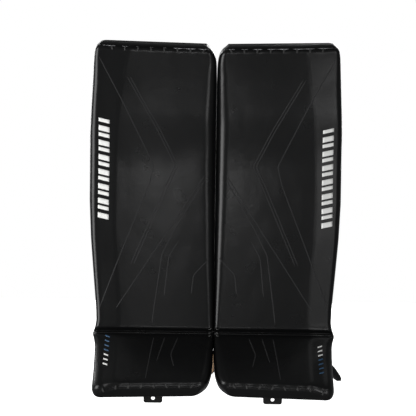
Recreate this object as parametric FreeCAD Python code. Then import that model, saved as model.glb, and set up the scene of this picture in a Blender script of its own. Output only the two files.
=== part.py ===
import FreeCAD
import Part

import math
import os
from collections import namedtuple

# A pair of ice hockey goalie leg pads, worn on the front of both legs.
#
# Millimetres. +Z is up, -Y is the way the pads face and +Y is towards the wearer's legs. The origin lies
# midway between the two legs, at knee height, on the plane where the shins rest.
# The left pad is built on the +X side. The right pad is its mirror image.
#
# Each pad is a laminated foam core in a wrapped skin, with a stiffener and a liner behind it. A flexible
# break joins the long body to the boot, which kicks forward over the skate. Behind the body are the knee
# stack and calf block on the inner side, and two wings with hook-and-loop straps on the outer side.

# ---- driving dimensions: the long profile ----
BODY_THICK = 60.0      # body, front face to back face
TOP_THICK = 44.0       # at the upper end of the thigh rise
TOE_THICK = 36.0       # at the lower end of the boot
BOOT_THICK = 45.0      # boot, just below the break
Z_TOP = 292.0          # front edge of the upper end
Z_THIGH = 90.0         # where the thigh rise starts to lean forward
Z_MID = -60.0          # below the knee, where the taper starts
Z_BREAK = -325.0       # crease between body and boot, on the front face
THIGH_LEAN = 15.0      # degrees
BOOT_KICK = 50.0       # degrees
BOOT_LENGTH = 154.0    # crease to toe, along the face
SHOULDER = 62.0        # length of the boot's tapered inner corner

# ---- driving dimensions: the cross-section ----
BEVEL_DROP = 9.0       # how far the outer band falls back from the face
BEVEL_WIDTH = 50.0
BEVEL_WIDTH_TOP = 66.0
INNER_RADIUS = 18.0
OUTER_RADIUS = 12.0
TOP_SLOPE = 0.023      # the upper end rises towards the outer side
TOE_SLOPE = -0.026     # the toe drops towards the outer side
SLOPE_X = 140.0        # X at which those slopes cross the profile

# ---- layers ----
SKIN = 2.0
GAP = 0.2              # between layers that lie on each other
PANEL = 3.0            # liner panel at the back
STIFFENER = 2.3
BINDING = 2.0
LACES = 8              # stitches along each bound end

# ---- the flexible break ----
BREAK_DEPTH = 0.65     # hinge line, as a share of the way from front to back
FRONT_WEDGE = 8.5      # half angle of the room in front of the hinge line, degrees
BACK_WEDGE = 7.0       # half angle behind it
BREAK_CORE_R = 3.0     # radius of the room along the hinge line

# ---- parts behind the body ----
WING_THICK = 14.0
WEB_THICK = 3.0
KNEE_DEPTH = 72.0      # back of the knee block
CALF_DEPTH = 62.0      # back of the calf block
PATCH = 1.5            # hook-and-loop patches
KNEE_STRAP_WIDTH = 50.0
CALF_STRAP_WIDTH = 45.0

# ---- boot hardware ----
STRAP_AXIS = (4.0, -352.0)   # Y and Z of the boot strap's two pivots
STRAP_WIDTH = 25.0
STRAP_THICK = 2.5
STRAP_DROP = 73.0            # how far the boot strap hangs below its pivots
TAIL_REACH = {"left": 25.0, "right": 4.0}   # how far the loose tail leans out
PIN_R = 2.43
PIN_BORE_R = 2.5
EYE_R = 8.0
TOE_X = 127.0                # middle of the toe hardware
TOE_EYE_R = 5.5
TOE_LINK_WIDTH = 40.0
TOE_LINK_DROP = 25.0
TOE_LACE_DROP = 15.5         # below the pin, to the hole for the lace that ties the toe to the skate
TOE_LACE_R = 4.0

Station = namedtuple("Station", "front back x_in x_out bevel slope")


def vec(x, yz):
    return FreeCAD.Vector(x, yz[0], yz[1])


def add(a, b, scale=1.0):
    """a + scale * b for (Y, Z) pairs."""
    return (a[0] + scale * b[0], a[1] + scale * b[1])


def direction(degrees):
    """Unit (Y, Z) pair that leans forward from straight up by this angle."""
    return (-math.sin(math.radians(degrees)), math.cos(math.radians(degrees)))


# ---- profile points and directions, as (Y, Z) pairs ----
FACE_Y = -BODY_THICK
THIGH_UP = direction(THIGH_LEAN)
THIGH_BACK = (THIGH_UP[1], -THIGH_UP[0])
BOOT_DOWN = (-math.sin(math.radians(BOOT_KICK)), -math.cos(math.radians(BOOT_KICK)))
BOOT_BACK = (-BOOT_DOWN[1], BOOT_DOWN[0])
TOP_FRONT = (FACE_Y - (Z_TOP - Z_THIGH) * math.tan(math.radians(THIGH_LEAN)), Z_TOP)
TOP_BACK = add(TOP_FRONT, THIGH_BACK, TOP_THICK)
THIGH_FRONT = (FACE_Y, Z_THIGH)
THIGH_REAR = (0.0, Z_THIGH + BODY_THICK * math.tan(math.radians(THIGH_LEAN / 2)))
BREAK_FRONT = (FACE_Y, Z_BREAK)
TOE_FRONT = add(BREAK_FRONT, BOOT_DOWN, BOOT_LENGTH)
TOE_REAR = add(TOE_FRONT, BOOT_BACK, TOE_THICK)
BOOT_PLANE = add(BREAK_FRONT, BOOT_BACK, BOOT_THICK)
BREAK_REAR = add(BOOT_PLANE, BOOT_DOWN, BOOT_PLANE[0] / -BOOT_DOWN[0])
BREAK_AXIS = add(BREAK_FRONT, (BREAK_REAR[0] - FACE_Y, BREAK_REAR[1] - Z_BREAK), BREAK_DEPTH)
REAR_LENGTH = math.dist(BREAK_REAR, TOE_REAR)
REAR_UP = ((BREAK_REAR[0] - TOE_REAR[0]) / REAR_LENGTH, (BREAK_REAR[1] - TOE_REAR[1]) / REAR_LENGTH)
REAR_OUT = (REAR_UP[1], -REAR_UP[0])


def between(a, b, share):
    """Station at this share of the way from a to b."""
    def mix(p, q):
        return p + (q - p) * share
    front = (mix(a.front[0], b.front[0]), mix(a.front[1], b.front[1]))
    back = (mix(a.back[0], b.back[0]), mix(a.back[1], b.back[1]))
    return Station(front, back, mix(a.x_in, b.x_in), mix(a.x_out, b.x_out), mix(a.bevel, b.bevel),
                   mix(a.slope, b.slope))


TOP = Station(TOP_FRONT, TOP_BACK, 3.0, 262.0, BEVEL_WIDTH_TOP, TOP_SLOPE)
THIGH = Station(THIGH_FRONT, THIGH_REAR, 1.5, 277.0, BEVEL_WIDTH, 0.0)
MID = Station((FACE_Y, Z_MID), (0.0, Z_MID), 1.5, 275.5, BEVEL_WIDTH, 0.0)
BREAK = Station(BREAK_FRONT, BREAK_REAR, 4.0, 254.0, BEVEL_WIDTH, 0.0)
TOE = Station(TOE_FRONT, TOE_REAR, 32.0, 249.0, BEVEL_WIDTH, TOE_SLOPE)
SHOULDER_AT = between(TOE, BREAK, SHOULDER / BOOT_LENGTH)._replace(x_in=8.0, x_out=250.0)

# Each run of stations starts at its free end and stops at the break.
BODY = (TOP, THIGH, MID, BREAK)
BOOT = (TOE, SHOULDER_AT, BREAK)


def near_end(stations, by):
    """Station this far in from the free end, or past it if by is negative."""
    return between(stations[0], stations[1], by / math.dist(stations[0].front, stations[1].front))


def depth_of(station):
    return math.dist(station.front, station.back)


def place(station, x, v):
    """Point at X and depth v behind the front face, in the station's plane."""
    depth = depth_of(station)
    step = ((station.back[0] - station.front[0]) / depth, (station.back[1] - station.front[1]) / depth)
    y, z = add(station.front, step, v)
    return vec(x, (y, z + station.slope * (x - SLOPE_X)))


def outline(station, inset=0.0, behind=0.0):
    """Closed cross-section: rounded inner corner, flat face, outer band that falls back, flat back."""
    corner = 1.0 - math.sqrt(0.5)
    x0, x1 = station.x_in + inset, station.x_out - inset
    r0, r1 = INNER_RADIUS - inset, OUTER_RADIUS - inset
    band = inset + BEVEL_DROP
    back = depth_of(station) + behind

    def p(x, v):
        return place(station, x, v)

    return Part.Wire([
        Part.makeLine(p(x0, back), p(x0, inset + r0)),
        Part.Arc(p(x0, inset + r0), p(x0 + r0 * corner, inset + r0 * corner), p(x0 + r0, inset)).toShape(),
        Part.makeLine(p(x0 + r0, inset), p(x1 - station.bevel, inset)),
        Part.makeLine(p(x1 - station.bevel, inset), p(x1 - r1, band)),
        Part.Arc(p(x1 - r1, band), p(x1 - r1 * corner, band + r1 * corner), p(x1, band + r1)).toShape(),
        Part.makeLine(p(x1, band + r1), p(x1, back)),
        Part.makeLine(p(x1, back), p(x0, back)),
    ])


def slab(station, x0, x1, near, far):
    """Closed rectangle from X x0 to x1, at depths measured from the back face."""
    depth = depth_of(station)
    corners = [(x0, near), (x1, near), (x1, far), (x0, far), (x0, near)]
    return Part.makePolygon([place(station, x, depth + v) for x, v in corners])


def loft(wires):
    return Part.makeLoft(wires, True, True)


def outline_loft(stations, inset, behind):
    """The pad's outer shape, set in by inset on the front, the sides and the free end."""
    return loft([outline(s, inset, behind) for s in (near_end(stations, inset),) + stations[1:]])


def panel_loft(stations, side, near, far):
    """A flat layer at these depths from the back face, set in by side all round."""
    return loft([
        slab(s, s.x_in + side, s.x_out - side, near, far)
        for s in (near_end(stations, side),) + stations[1:]
    ])


def prism(points, x0, x1):
    """A (Y, Z) polygon pulled along X."""
    wire = Part.makePolygon([vec(x0, p) for p in list(points) + [points[0]]])
    return Part.Face(wire).extrude(FreeCAD.Vector(x1 - x0, 0, 0))


def rod(x0, x1, centre, radius):
    """Cylinder along X."""
    return Part.makeCylinder(radius, x1 - x0, vec(x0, centre), FreeCAD.Vector(1, 0, 0))


def rounded_box(x, y, z, radius):
    box = Part.makeBox(x[1] - x[0], y[1] - y[0], z[1] - z[0], FreeCAD.Vector(x[0], y[0], z[0]))
    return box.makeFillet(radius, box.Edges)


def ribbon(edges, thick, pull):
    """A strip of this thickness along an open run of edges, pulled along a vector, with rounded ends."""
    outer = Part.Wire(edges).makeOffset2D(thick / 2, 0, False, False, False)
    return Part.Face(outer).extrude(pull)


def group(solids):
    return Part.makeCompound(solids)


def break_room():
    """The room that lets the boot flex: a wedge in front of the hinge line, one behind it, and a rod along it."""
    reach = 90.0
    forward = (BREAK_FRONT[0] - BREAK_AXIS[0], BREAK_FRONT[1] - BREAK_AXIS[1])
    forward = (forward[0] / math.hypot(*forward), forward[1] / math.hypot(*forward))

    def turned(degrees, sense):
        c, s = math.cos(math.radians(degrees)), math.sin(math.radians(degrees))
        return (sense * (forward[0] * c - forward[1] * s), sense * (forward[0] * s + forward[1] * c))

    wedges = [
        prism([BREAK_AXIS, add(BREAK_AXIS, turned(a, sense), reach), add(BREAK_AXIS, turned(-a, sense), reach)],
              -20.0, 320.0)
        for a, sense in ((FRONT_WEDGE, 1.0), (BACK_WEDGE, -1.0))
    ]
    return wedges[0].fuse(wedges[1]).fuse(rod(-20.0, 320.0, BREAK_AXIS, BREAK_CORE_R))


def make_layers(stations, room, nodes, prefix):
    """Skin, core and back panel of the body or of the boot."""
    inside = SKIN + GAP
    outer = outline_loft(stations, 0.0, 0.0)
    cavity = outline_loft(stations, SKIN, 6.0)
    nodes[prefix + "skin"] = outer.cut(cavity).cut(room)
    under = PANEL + GAP + (STIFFENER + GAP if prefix == "face_" else 0.0)
    core = "foam_core" if prefix == "face_" else "boot_core"
    nodes[core] = outline_loft(stations, inside, -under).cut(room)
    back = "back_liner" if prefix == "face_" else "boot_liner"
    nodes[back] = panel_loft(stations, inside, -PANEL, 0.0).cut(room)


def make_stiffener(room):
    near = -(PANEL + GAP + STIFFENER)
    return panel_loft(BODY, 12.0, near, near + STIFFENER).cut(room)


def make_binding(stations):
    """Leather strip sewn over the free end."""
    edge = 0.1
    return loft([
        outline(near_end(stations, -edge), 0.5, -0.5),
        outline(near_end(stations, -edge - BINDING), 1.2, -1.2),
    ])


def make_lacing(stations, first_x, pitch):
    """Short lace stitches that lie on the front face, beside the bound edge."""
    width, proud, low, high = 5.0, 1.6, 11.0, 2.0
    start, stop = near_end(stations, low), near_end(stations, high)
    laces = []
    for i in range(LACES):
        x = first_x - width / 2 + i * pitch
        corners = [(x, -proud), (x + width, -proud), (x + width, -GAP), (x, -GAP), (x, -proud)]
        face = Part.Face(Part.makePolygon([place(start, a, v) for a, v in corners]))
        laces.append(face.extrude(place(stop, x, 0.0) - place(start, x, 0.0)))
    return group(laces)


def make_knee_stack():
    return rounded_box((1.2, 104.0), (0.3, 38.0), (-85.0, 95.0), 4.0)


def make_knee_block():
    return rounded_box((1.2, 100.0), (38.3, KNEE_DEPTH), (-80.0, 90.0), 6.0)


def make_calf_block():
    return rounded_box((1.5, 62.0), (0.3, CALF_DEPTH), (-300.0, -104.0), 6.0)


def make_leg_cradle():
    """Three pads that the leg rests against: thigh, knee and shin."""
    thigh = [between(THIGH, TOP, s) for s in (0.16, 0.86)]
    return group([
        loft([slab(s, 34.0, 226.0, 0.3, 7.0) for s in thigh]),
        rounded_box((108.0, 216.0), (0.3, 14.0), (-80.0, 86.0), 4.0),
        rounded_box((67.0, 206.0), (0.3, 11.0), (-300.0, -106.0), 4.0),
    ])


def make_patches():
    """Loop patches on the backs of the knee block and the calf block, where the straps land."""
    knee = Part.makeBox(70.0, PATCH, 60.0, FreeCAD.Vector(20.0, KNEE_DEPTH + 0.05, -20.0))
    calf = [
        Part.makeBox(44.0, PATCH, 52.0, FreeCAD.Vector(9.0, CALF_DEPTH + 0.05, z - 26.0))
        for z in CALF_STRAP_Z
    ]
    return group([knee] + calf)


CALF_STRAP_Z = (-152.0, -250.0)
KNEE_STRAP_Z = 10.0

# Wings and straps are laid out in plan, as (X, Y) points, and pulled along Z. Each turns about its first point.
KNEE_WING = ((250.0, 9.2), (263.0, 62.0), (232.0, 112.0))
CALF_WING = ((232.0, 9.2), (245.0, 58.0), (214.0, 106.0))
KNEE_STRAP = ((246.0, 117.0), (172.0, 137.0), (106.0, 79.5), (90.0, KNEE_DEPTH + 3.5), (26.0, KNEE_DEPTH + 3.5))
CALF_STRAP = ((228.0, 112.0), (148.0, 130.0), (66.0, 69.5), (52.0, CALF_DEPTH + 3.5), (13.0, CALF_DEPTH + 3.5))


def plan(points):
    return [FreeCAD.Vector(x, y, 0) for x, y in points]


def make_wing(points, z0, z1):
    shape = ribbon([Part.Arc(*plan(points)).toShape()], WING_THICK, FreeCAD.Vector(0, 0, z1 - z0))
    shape.translate(FreeCAD.Vector(0, 0, z0))
    return shape


def make_strap(points, z, width):
    p = plan(points)
    edges = [Part.Arc(*p[:3]).toShape(), Part.makeLine(p[2], p[3]), Part.makeLine(p[3], p[4])]
    shape = ribbon(edges, WEB_THICK, FreeCAD.Vector(0, 0, width))
    shape.translate(FreeCAD.Vector(0, 0, z - width / 2))
    return shape


# ---- boot hardware places, worked out from the profile ----
TOE_PIN = add(add(TOE_REAR, REAR_UP, 26.0), REAR_OUT, 10.0)
STRAP_X_IN = 5.5       # centre of the boot strap's inner leg
STRAP_X_OUT = 241.35   # centre of its outer leg
BAR = (245.0, STRAP_AXIS[1] - 36.0)   # X and Z of the buckle's lower bar
MOUNT_LIFT = 1.1       # room under the hardware for the boot's slope across its width
BRACKET_IN = (7.2, 9.7)
BRACKET_OUT = (238.7, 241.2)
TAB_X = 244.1          # centre of the buckle's tab where it hangs on the rivet
TAB_THICK = 1.6


def boot_rear(z, lift):
    """Point on the boot's back face at this height, lifted off it."""
    along = (z - TOE_REAR[1]) / REAR_UP[1]
    return add(add(TOE_REAR, REAR_UP, along), REAR_OUT, lift)


def boot_plate(x0, x1, low, high, near, far):
    """Box on the boot's back face: low to high up from the toe, near to far off the face."""
    corners = [
        add(add(TOE_REAR, REAR_UP, s), REAR_OUT, v)
        for s, v in ((low, near), (high, near), (high, far), (low, far))
    ]
    return prism(corners, x0, x1)


def bridge_rivet(x, near, far, radius):
    foot = add(add(TOE_REAR, REAR_UP, 14.0), REAR_OUT, near)
    return Part.makeCylinder(radius, far - near, vec(x, foot), vec(0, REAR_OUT))


def make_toe_bridge():
    plate = boot_plate(TOE_X - 34.0, TOE_X + 34.0, 8.0, 40.0, MOUNT_LIFT, 4.0)
    for x in (TOE_X - 30.0, TOE_X + 23.0):
        lug = boot_plate(x, x + 7.0, 20.0, 32.0, 3.5, 10.0).fuse(rod(x, x + 7.0, TOE_PIN, 6.0))
        plate = plate.fuse(lug)
    plate = plate.cut(rod(0.0, 300.0, TOE_PIN, PIN_BORE_R))
    for x in BRIDGE_RIVET_X:
        plate = plate.cut(bridge_rivet(x, 0.0, 5.0, 2.1))
    return plate


BRIDGE_RIVET_X = (TOE_X - 14.0, TOE_X + 14.0)


def make_toe_link():
    half = TOE_LINK_WIDTH / 2
    y, z = TOE_PIN
    barrel = rod(TOE_X - half, TOE_X + half, TOE_PIN, TOE_EYE_R)
    low_corner = FreeCAD.Vector(TOE_X - half, y - 2.5, z - TOE_LINK_DROP)
    tongue = Part.makeBox(TOE_LINK_WIDTH, 5.0, TOE_LINK_DROP, low_corner)
    corners = [e for e in tongue.Edges if e.BoundBox.YLength > 4.0 and e.BoundBox.ZMax < z - 1.0]
    link = barrel.fuse(tongue.makeFillet(5.0, corners))
    link = link.cut(rod(0.0, 300.0, TOE_PIN, PIN_BORE_R))
    mouth = FreeCAD.Vector(TOE_X, y - 10.0, z - TOE_LACE_DROP)
    return link.cut(Part.makeCylinder(TOE_LACE_R, 20.0, mouth, FreeCAD.Vector(0, 1, 0)))


def make_bracket(x0, x1):
    """Plate that stands off the boot's back and carries one pivot of the boot strap."""
    y, z = STRAP_AXIS
    foot = [boot_rear(z + 10.0, MOUNT_LIFT), boot_rear(z - 20.0, MOUNT_LIFT)]
    web = prism(foot + [(y, z - EYE_R), (y, z + EYE_R)], x0, x1)
    return web.fuse(rod(x0, x1, STRAP_AXIS, EYE_R)).cut(rod(x0 - 1.0, x1 + 1.0, STRAP_AXIS, PIN_BORE_R))


def make_rivets():
    """Two pivots for the boot strap, and two rivets through the toe bridge."""
    solids = []
    for x0, x1 in ((2.7, 11.2), (237.2, 246.4)):
        head = 1.0
        shank = rod(x0, x1, STRAP_AXIS, PIN_R)
        heads = [rod(x0, x0 + head, STRAP_AXIS, 4.5), rod(x1 - head, x1, STRAP_AXIS, 4.5)]
        solids.append(shank.fuse(heads[0]).fuse(heads[1]))
    for x in BRIDGE_RIVET_X:
        solids.append(bridge_rivet(x, 0.4, 4.1, 2.0).fuse(bridge_rivet(x, 4.1, 5.4, 4.2)))
    return group(solids)


def make_boot_strap(reach):
    """Strap that hangs in a U behind the boot, turns over the buckle's lower bar and ends in a loose tail."""
    y, z = STRAP_AXIS
    low, bend = z - STRAP_DROP, 34.0
    corner = bend * (1.0 - math.sqrt(0.5))
    wrap = BAR[0] - STRAP_X_OUT

    def p(x, height):
        return FreeCAD.Vector(x, 0, height)

    edges = [
        Part.makeLine(p(STRAP_X_IN, z + EYE_R), p(STRAP_X_IN, low + bend)),
        Part.Arc(p(STRAP_X_IN, low + bend), p(STRAP_X_IN + corner, low + corner), p(STRAP_X_IN + bend, low)).toShape(),
        Part.makeLine(p(STRAP_X_IN + bend, low), p(STRAP_X_OUT - bend, low)),
        Part.Arc(p(STRAP_X_OUT - bend, low), p(STRAP_X_OUT - corner, low + corner), p(STRAP_X_OUT, low + bend)).toShape(),
        Part.makeLine(p(STRAP_X_OUT, low + bend), p(STRAP_X_OUT, BAR[1])),
        Part.Arc(p(STRAP_X_OUT, BAR[1]), p(BAR[0], BAR[1] + wrap), p(BAR[0] + wrap, BAR[1])).toShape(),
        Part.makeLine(p(BAR[0] + wrap, BAR[1]), p(BAR[0] + wrap + reach, low - 7.0)),
    ]
    strap = ribbon(edges, STRAP_THICK, FreeCAD.Vector(0, STRAP_WIDTH, 0))
    strap.translate(FreeCAD.Vector(0, y - STRAP_WIDTH / 2, 0))
    return strap.cut(rod(0.0, 20.0, STRAP_AXIS, PIN_BORE_R))


def make_buckle_tab():
    """Short tab that hangs on the outer rivet and folds through the buckle's upper slot."""
    y, z = STRAP_AXIS
    fold, fold_z = 2.7, z - 15.3

    def p(x, height):
        return FreeCAD.Vector(x, 0, height)

    edges = [
        Part.makeLine(p(TAB_X, z + EYE_R), p(TAB_X, z - 6.0)),
        Part.makeLine(p(TAB_X, z - 6.0), p(BAR[0] + fold, z - 11.5)),
        Part.makeLine(p(BAR[0] + fold, z - 11.5), p(BAR[0] + fold, fold_z)),
        Part.Arc(p(BAR[0] + fold, fold_z), p(BAR[0], fold_z - fold), p(BAR[0] - fold, fold_z)).toShape(),
        Part.makeLine(p(BAR[0] - fold, fold_z), p(BAR[0] - fold, z - 12.8)),
    ]
    tab = ribbon(edges, TAB_THICK, FreeCAD.Vector(0, 20.0, 0))
    tab.translate(FreeCAD.Vector(0, y - 10.0, 0))
    return tab.cut(rod(230.0, 246.0, STRAP_AXIS, PIN_BORE_R))


def make_buckle_frame():
    """Ladder lock: an upper slot for the tab, and a round lower bar that the strap turns over."""
    y, z = STRAP_AXIS
    x0, x1 = BAR[0] - 1.5, BAR[0] + 1.5
    frame = Part.makeBox(x1 - x0, 32.0, 27.0, FreeCAD.Vector(x0, y - 16.0, z - 39.5))
    upper = Part.makeBox(10.0, 26.0, 5.0, FreeCAD.Vector(x0 - 3.0, y - 13.0, z - 21.0))
    lower = Part.makeBox(10.0, 26.0, 12.0, FreeCAD.Vector(x0 - 3.0, y - 13.0, z - 35.8))
    under = Part.makeBox(10.0, 26.0, 8.0, FreeCAD.Vector(x0 - 3.0, y - 13.0, z - 46.0))
    bar = Part.makeCylinder(2.0, 32.0, FreeCAD.Vector(BAR[0], y - 16.0, BAR[1]), FreeCAD.Vector(0, 1, 0))
    return frame.cut(upper).cut(lower).cut(under).fuse(bar)


def build_left():
    """Every sub-part of the left pad, by name."""
    nodes = {}
    room = break_room()
    make_layers(BODY, room, nodes, "face_")
    make_layers(BOOT, room, nodes, "boot_")
    nodes["stiffener"] = make_stiffener(room)
    nodes["top_binding"] = make_binding(BODY)
    nodes["toe_binding"] = make_binding(BOOT)
    nodes["top_lacing"] = make_lacing(BODY, 29.5, 28.1)
    nodes["toe_lacing"] = make_lacing(BOOT, 44.0, 26.6)
    nodes["knee_stack"] = make_knee_stack()
    nodes["knee_block"] = make_knee_block()
    nodes["calf_block"] = make_calf_block()
    nodes["leg_cradle"] = make_leg_cradle()
    nodes["loop_patches"] = make_patches()
    nodes["knee_wing"] = make_wing(KNEE_WING, -70.0, 84.0)
    nodes["calf_wing"] = make_wing(CALF_WING, -296.0, -106.0)
    nodes["knee_strap"] = make_strap(KNEE_STRAP, KNEE_STRAP_Z, KNEE_STRAP_WIDTH)
    nodes["calf_strap_upper"] = make_strap(CALF_STRAP, CALF_STRAP_Z[0], CALF_STRAP_WIDTH)
    nodes["calf_strap_lower"] = make_strap(CALF_STRAP, CALF_STRAP_Z[1], CALF_STRAP_WIDTH)
    nodes["toe_bridge"] = make_toe_bridge()
    nodes["toe_pin"] = rod(TOE_X - 31.0, TOE_X + 31.0, TOE_PIN, PIN_R)
    nodes["toe_link"] = make_toe_link()
    nodes["strap_brackets"] = group([make_bracket(*BRACKET_IN), make_bracket(*BRACKET_OUT)])
    nodes["rivets"] = make_rivets()
    nodes["boot_strap"] = make_boot_strap(TAIL_REACH["left"])
    nodes["buckle_tab"] = make_buckle_tab()
    nodes["buckle_frame"] = make_buckle_frame()
    return nodes


def build_pair():
    """Both pads: the left as built, the right mirrored, with its own way for the loose tail."""
    left = build_left()
    right = dict(left, boot_strap=make_boot_strap(TAIL_REACH["right"]))
    pair = {"left_" + name: shape for name, shape in left.items()}
    for name, shape in right.items():
        pair["right_" + name] = shape.mirror(FreeCAD.Vector(0, 0, 0), FreeCAD.Vector(1, 0, 0))
    return pair


def main():
    os.makedirs("parts", exist_ok=True)
    for name, shape in build_pair().items():
        shape.exportStep("parts/" + name + ".step")
        print(f"{name:24s} valid {shape.isValid()} solids {len(shape.Solids)} volume {shape.Volume:10.0f}")
    print("break axis", BREAK_AXIS, "toe pin", TOE_PIN)


main()
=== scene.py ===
import cmath
import math
from contextlib import contextmanager

import bmesh
import bpy
import numpy as np
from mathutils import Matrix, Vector, noise


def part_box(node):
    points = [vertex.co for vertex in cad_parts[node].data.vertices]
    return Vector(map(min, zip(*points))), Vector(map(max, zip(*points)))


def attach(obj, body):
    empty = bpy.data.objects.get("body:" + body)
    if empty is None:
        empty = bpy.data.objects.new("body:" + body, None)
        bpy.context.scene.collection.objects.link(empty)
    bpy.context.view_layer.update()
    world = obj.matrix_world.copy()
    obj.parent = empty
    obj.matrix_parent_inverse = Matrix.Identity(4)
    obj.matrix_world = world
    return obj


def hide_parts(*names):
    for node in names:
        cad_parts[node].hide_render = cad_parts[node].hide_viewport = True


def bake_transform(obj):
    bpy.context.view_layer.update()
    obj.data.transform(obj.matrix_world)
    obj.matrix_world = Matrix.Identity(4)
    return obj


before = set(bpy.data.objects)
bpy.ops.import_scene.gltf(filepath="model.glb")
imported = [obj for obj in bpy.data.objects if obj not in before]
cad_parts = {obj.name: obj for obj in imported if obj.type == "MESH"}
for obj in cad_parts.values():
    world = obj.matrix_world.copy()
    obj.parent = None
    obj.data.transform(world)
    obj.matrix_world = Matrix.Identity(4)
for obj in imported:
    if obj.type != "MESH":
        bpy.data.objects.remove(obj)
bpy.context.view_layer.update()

# Goalie leg pads. Metres, in the frame's axes: +Z up, -Y the way the pads face, +X the wearer's left.
# Everything is worked out for the left pad, on the +X side, and mirrored for the right one.

MM = 0.001
SIDES = {"left": 1.0, "right": -1.0}
UP = Vector((0, 0, 1))

# ---- the pad's long profile, as (Y, Z)

FACE_Y = -60 * MM
Z_TOP, Z_THIGH, Z_BREAK = 292 * MM, 90 * MM, -325 * MM
THIGH_LEAN, BOOT_KICK = math.radians(15), math.radians(50)
TOP_THICK, BOOT_THICK, TOE_THICK = 44 * MM, 45 * MM, 36 * MM
BOOT_LENGTH = 154 * MM
# Slope of the top and toe edges across the pad, about this X.
SLOPE_X = 140 * MM
TOP_SLOPE, TOE_SLOPE = 0.023, -0.026

BOOT_DOWN = np.array((-math.sin(BOOT_KICK), -math.cos(BOOT_KICK)))
BOOT_BACK = np.array((math.cos(BOOT_KICK), -math.sin(BOOT_KICK)))
TOP_FRONT = np.array((FACE_Y - (Z_TOP - Z_THIGH) * math.tan(THIGH_LEAN), Z_TOP))
TOP_BACK = TOP_FRONT + TOP_THICK * np.array((math.cos(THIGH_LEAN), math.sin(THIGH_LEAN)))
THIGH_FRONT = np.array((FACE_Y, Z_THIGH))
THIGH_BACK = np.array((0.0, Z_THIGH - FACE_Y * math.tan(THIGH_LEAN / 2)))
BREAK_FRONT = np.array((FACE_Y, Z_BREAK))
BOOT_PLANE = BREAK_FRONT + BOOT_THICK * BOOT_BACK
BREAK_BACK = BOOT_PLANE - BOOT_DOWN * (BOOT_PLANE[0] / BOOT_DOWN[0])
TOE_FRONT = BREAK_FRONT + BOOT_LENGTH * BOOT_DOWN
TOE_BACK = TOE_FRONT + TOE_THICK * BOOT_BACK

# Distances down the face.
S_THIGH = float(np.linalg.norm(TOP_FRONT - THIGH_FRONT))
S_BREAK = S_THIGH + Z_THIGH - Z_BREAK
S_TOE = S_BREAK + BOOT_LENGTH
KEYS = (0.0, S_THIGH, S_BREAK, S_TOE)
FRONT_LINE = np.array((TOP_FRONT, THIGH_FRONT, BREAK_FRONT, TOE_FRONT))
BACK_LINE = np.array((TOP_BACK, THIGH_BACK, BREAK_BACK, TOE_BACK))
FRONT_ROUND, BACK_ROUND = 60 * MM, 10 * MM

ENDS = {"top": 0.0, "toe": S_TOE}
END_BODY = {"top": "pad", "toe": "boot"}
EDGE_ROUND = {"top": 15 * MM, "toe": 11 * MM}

# ---- widths and corners along the face


def shift_pairs(pairs, start):
    return [(a + start / MM, b) for a, b in pairs]


# Millimetres against millimetres down the face. The shifted groups are measured from the break.
INNER = [(0, 25), (3, 18), (8, 11.5), (15, 6.5), (25, 2.8), (42, 0.8), (75, 0.15)]
INNER += shift_pairs([(40, 0.15), (60, 0.4), (80, 1.2), (109, 3.2), (126, 4.8), (140, 8), (149, 12.5),
                      (154, 17)], S_BREAK)
OUTER = [(0, 249), (3, 256), (8, 261.2), (16, 264.4), (30, 266.4), (80, 270), (140, 274),
         (190, 276.5), (260, 276.5), (340, 276), (420, 272), (500, 265), (570, 258.5), (600, 257.5)]
OUTER += shift_pairs([(-9, 260), (-2, 263), (3, 264.5), (8, 264.5), (18, 261.5), (34, 258.5), (60, 257),
                      (100, 256), (135, 256), (146, 253.5), (154, 246)], S_BREAK)
BEVEL_WIDTH = [(0, 76), (60, 69), (150, 61), (300, 57), (500, 53), (S_TOE / MM, 48)]
INNER_CORNER = [(0, 12), (60, 23), (160, 29), (320, 27), (500, 20)]
INNER_CORNER += shift_pairs([(0, 12), (50, 19), (154, 24)], S_BREAK)
OUTER_CORNER = [(0, 11), (80, 17), (320, 17)] + shift_pairs([(0, 12), (30, 21), (154, 20)], S_BREAK)
# How much further in the back of the inner side is than its front, towards the toe.
TOE_TAPER = shift_pairs([(105, 0), (138, 6), (154, 21)], S_BREAK)
# How far the face falls in around the crease: the body rolls in, then a thin lip stands up, then the boot.
FOLD = shift_pairs([(-17, 0), (-11, 0.3), (-8, 1.7), (-3, 7.4), (-0.6, 8.6), (0.6, 3.2), (2, 1.9),
                    (3.6, 2.2), (4.6, 4.6), (6, 3), (9, 1.2), (15, 0.3), (24, 0)], S_BREAK)
BEVEL_DROP, RIDGE_ROUND, CROWN = 9.5 * MM, 6 * MM, 2.2 * MM
# Distances over which the crown, the fold, the toe taper and the swell of the stuffing die away.
CROWN_FADE, FOLD_FADE, TAPER_FADE, SWELL_FADE = 70 * MM, 4 * MM, 48 * MM, 15 * MM
PROBE = 0.5 * MM


def table(pairs, s):
    """Value at s metres from pairs of (millimetres, millimetres), in metres."""
    xs, ys = zip(*pairs)
    return float(np.interp(s / MM, xs, ys)) * MM


def eased(pairs, s, reach=5 * MM):
    """table(), rounded over this reach."""
    return sum(table(pairs, s + reach * k) for k in (-1.0, -0.5, 0.0, 0.5, 1.0)) / 5


def along(line, s):
    return np.array([np.interp(s, KEYS, line[:, 0]), np.interp(s, KEYS, line[:, 1])])


def bent(line, s, most):
    """Point of a profile line, rounded at the thigh and left sharp at the break."""
    reach = max(0.0, min(most, s, S_BREAK - s))
    return sum(along(line, s + reach * k) for k in np.linspace(-1, 1, 9)) / 9


def slope_at(s):
    if s < S_THIGH:
        return TOP_SLOPE * (1 - s / S_THIGH)
    return TOE_SLOPE * max(0.0, (s - S_BREAK) / BOOT_LENGTH)


def edge_fall(radius, past):
    """How far a round edge has fallen away at this distance past its start."""
    side = min(1.0, max(0.0, past / radius))
    return radius * (1 - math.sqrt(1 - side * side))


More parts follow.
